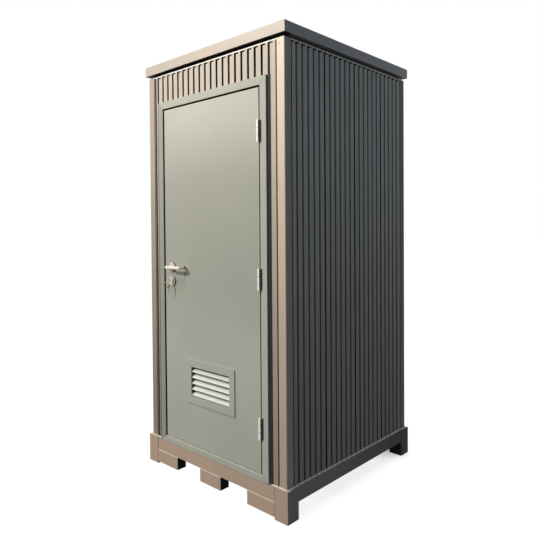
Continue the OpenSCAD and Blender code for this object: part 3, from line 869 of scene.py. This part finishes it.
# %% Rivets
DOME = np.array([[0.05, 1.0], [0.35, 0.92], [0.62, 0.70], [0.82, 0.36],
                 [0.92, 0.12], [1.0, 0.08], [1.0, -0.1], [0.05, -0.1]])
RIVET_R, RIVET_H, RIVET_IN = 0.0032, 0.0016, 0.008
RIVET_RISES = (0.034, 1.112, 2.054)
spots, facing = [], []
for name in (n for n in nodes if n.endswith("_post")):
    low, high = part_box(name)
    across, along = (1 if "right" in name else -1), (1 if "back" in name else -1)
    outer_x, outer_y = (high if across > 0 else low).x, (high if along > 0 else low).y
    centre = (low + high) / 2
    for z in (base_high.z + rise for rise in RIVET_RISES):
        spots += [(centre.x - across * RIVET_IN, outer_y, z), (outer_x, centre.y - along * RIVET_IN, z)]
        facing += [(0, along, 0), (across, 0, 0)]
piece("post_rivets", turned(spots, facing, DOME * (RIVET_R, RIVET_H)), rivet_metal)

# %% [markdown]
# ## Hinge pins
# A hinge pin ends in a small button above and below, so that it can be knocked out. The buttons use the
# rivet's profile at another size.

# %% Pin heads
PIN_R, PIN_H = 0.0058, 0.0026
PIN_HEAD = DOME * (PIN_R, PIN_H)
pin_tops = turned([(pin_x, pin_y, high) for _, high in hinge_spans], (0, 0, 1), PIN_HEAD)
pin_feet = turned([(pin_x, pin_y, low) for low, _ in hinge_spans], (0, 0, -1), PIN_HEAD)
piece("hinge_pin_tops", pin_tops, hinge_metal)
piece("hinge_pin_feet", pin_feet, hinge_metal)

# %% [markdown]
# ## Sealant along the foot of the walls
# Where the walls stand on the base, a bead of pale sealant keeps the rain out. It follows every rib, so
# its path is read from the feet of the walls and posts, once round the cabin from one side of the door
# frame to the other.

# %% Sealant path
RIB_DEPTH = 0.02


def foot_points(name):
    """The points of a node's foot as rows of x and y, each once."""
    points = points_of(name)
    at_foot = points[:, 2] < points[:, 2].min() + 1e-4
    return np.unique(np.round(points[at_foot], 5)[:, :2], axis=0)


def wall_foot(name, along, backwards):
    """The outer outline of a wall's foot, in order along the wall's axis."""
    points = foot_points(name)
    across = points[:, 1 - along] * np.sign(points[:, 1 - along].mean())
    points = points[across > across.max() - RIB_DEPTH]
    order = np.argsort(points[:, along])
    return points[order[::-1] if backwards else order]


def post_foot(name):
    """The outer outline of a post's foot: all but its inmost point, from the first in |x| to the last."""
    points = foot_points(name)
    points = np.delete(points, np.argmin(np.abs(points).sum(axis=1)), axis=0)
    return points[np.argsort(np.abs(points[:, 0]))]


flat_path = np.concatenate([
    wall_foot("front_wall_left", 0, True), post_foot("front_left_post"),
    wall_foot("left_wall", 1, False), post_foot("back_left_post")[::-1],
    wall_foot("back_wall", 0, False), post_foot("back_right_post"),
    wall_foot("right_wall", 1, True), post_foot("front_right_post")[::-1],
    wall_foot("front_wall_right", 0, True),
])
print("sealant path", len(flat_path), "points")

# %% [markdown]
# ## The bead itself
# The bead is an oval pressed out along that path. Each ring stands square to the line from the point
# before it to the point after it, so that the bead turns smoothly round the ribs.

# %% Sealant bead
BEAD_WIDE, BEAD_HIGH, BEAD_LIFT = 0.0055, 0.0034, 0.0004


def tube(path, wide, high, sides=8):
    """Rings square to a level path: point = path + wide cos a (outwards) + high sin a (up)."""
    ahead = np.gradient(path, axis=0)
    ahead /= np.linalg.norm(ahead, axis=1, keepdims=True)
    out = np.stack([-ahead[:, 1], ahead[:, 0], 0 * ahead[:, 0]], axis=1)
    a = round_angles(sides)[None, :, None]
    up = np.array([0, 0, 1.0])
    return path[:, None] + wide * np.cos(a) * out[:, None] + high * np.sin(a) * up


bead_path = np.column_stack([flat_path, np.full(len(flat_path), base_high.z + BEAD_LIFT)])
piece("foot_sealant", tube(bead_path, BEAD_WIDE, BEAD_HIGH)[None], sealant)

# %% [markdown]
# ## Door seal
# A thin strip of black rubber lines the two jambs and the head, and closes the gap when the door is shut;
# its black is also painted shade for that gap.
# It is an extruded profile that is cut on the mitre in the two upper corners, so it can be drawn as four
# rings.

# %% Rubber seal
inner_x, inner_z = frame_x - FACE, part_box("frame_head")[1].z - FACE
SEAL_T, SEAL_SUNK, STOP_GAP = 0.0012, 0.0005, 0.005
SEAL_START, SEAL_FULL = 0.0015, 0.0020
stop_depth = leaf_high.y + STOP_GAP - frame_low.y
turns = np.array([[-inner_x, sill_z], [-inner_x, inner_z], [inner_x, inner_z], [inner_x, sill_z]])
inwards = np.array([[1.0, 0], [1, -1], [-1, -1], [-1, 0]])
section = np.array([[-SEAL_SUNK, SEAL_START], [SEAL_T, SEAL_FULL],
                    [SEAL_T, stop_depth], [-SEAL_SUNK, stop_depth]])
flat = turns[:, None] + inwards[:, None] * section[None, :, :1]
depth = np.broadcast_to(frame_low.y + section[:, 1], flat[..., 0].shape)
piece("door_seal", np.stack([flat[..., 0], depth, flat[..., 1]], axis=-1)[None], rubber)

# %% [markdown]
# ## Gaskets beside the frame
# A flat gasket lies on the wall beside each jamb: grey, with a dark lip along its outer edge. Both are
# painted shade, standing in for the frame's shaded side and its shadow on the wall. Its section is six
# points, carried straight up from the base to the head.

# %% Gaskets
GASKET_W, GASKET_PROUD, GASKET_LIFT = 0.0190, 0.0012, 0.001
gasket_across = GASKET_W * np.array([0.0, 0.2, 0.8, 1.0, 1.0, 0.0])
gasket_y = front_y - GASKET_PROUD * np.array([1.0, 1.0, 1.0, 0.4, -1.0, -1.0])
gaskets = [
    [np.column_stack([side * (frame_x + gasket_across), gasket_y, np.full(len(gasket_y), z)])
     for z in (base_high.z + GASKET_LIFT, frame_high.z)]
    for side in (-1, 1)
]
piece("frame_gaskets", gaskets, seal_paint)

# %% [markdown]
# ## Sweep and strike button
# Under the leaf a painted strip hangs down to just over the sill and closes the lower gap. It swings with
# the door. A small bright button beside the lock, seen in the gap, keeps the leaf from striking the
# steel.

# %% Sweep and button
SWEEP_IN = 0.001
BUTTON_R, BUTTON_H, BUTTON_IN, BUTTON_BELOW = 0.0042, 0.0022, 0.0065, 0.016
sweep_section = np.array([[0.0015, 0.001], [0.0015, -0.0060], [0.0030, -0.0068],
                          [0.0045, -0.0060], [0.0045, 0.001]])
sweep_yz = sweep_section + (leaf_low.y, leaf_low.z)
sweep_ends = (leaf_low.x + SWEEP_IN, leaf_high.x - SWEEP_IN)
sweep = [np.column_stack([np.full(len(sweep_yz), end), sweep_yz]) for end in sweep_ends]
piece("door_sweep", [sweep], door_paint, "door")

button_spot = (SEAL_T - inner_x, frame_low.y + BUTTON_IN, lock_rose.z - BUTTON_BELOW)
button = turned([button_spot], (1, 0, 0), DOME * (BUTTON_R, BUTTON_H))
piece("strike_button", button, hinge_metal)

# %% [markdown]
# ## Welds on the base
# The rails are welded between the corner blocks. A weld bead is a row of small ripples, one for each time
# that the welder's torch stopped, so the bead's radius rises and falls along the seam.

# %% Weld beads
WELD_R, WELD_IN = 0.0022, 0.0008


def weld(foot_point, length, radius, ripples=26, sides=10):
    """An upright bead: point = foot + t length up + r (cos a, sin a), with t from 0 to 1.

    The radius ripples: r = radius (0.8 + 0.2 |sin(pi ripples t)|).
    """
    t = np.linspace(0, 1, 6 * ripples + 1)[:, None]
    r = radius * (0.8 + 0.2 * np.abs(np.sin(np.pi * ripples * t)))
    a = round_angles(sides)
    height = np.broadcast_to(length * t, (len(t), sides))
    return np.asarray(foot_point) + np.stack([r * np.cos(a), r * np.sin(a), height], axis=-1)


beads = []
for name, axis in (("front_rail", 0), ("back_rail", 0), ("left_rail", 1), ("right_rail", 1)):
    low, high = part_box(name)
    outer = (low if name in ("front_rail", "left_rail") else high)[1 - axis]
    for end in (low[axis] + WELD_IN, high[axis] - WELD_IN):
        point = [0, 0, low.z]
        point[axis], point[1 - axis] = end, outer
        beads.append(weld(point, high.z - low.z, WELD_R))
piece("rail_welds", beads, base_paint)

# %% [markdown]
# ## Size note
# Dressing the cabin mustn't change its size.
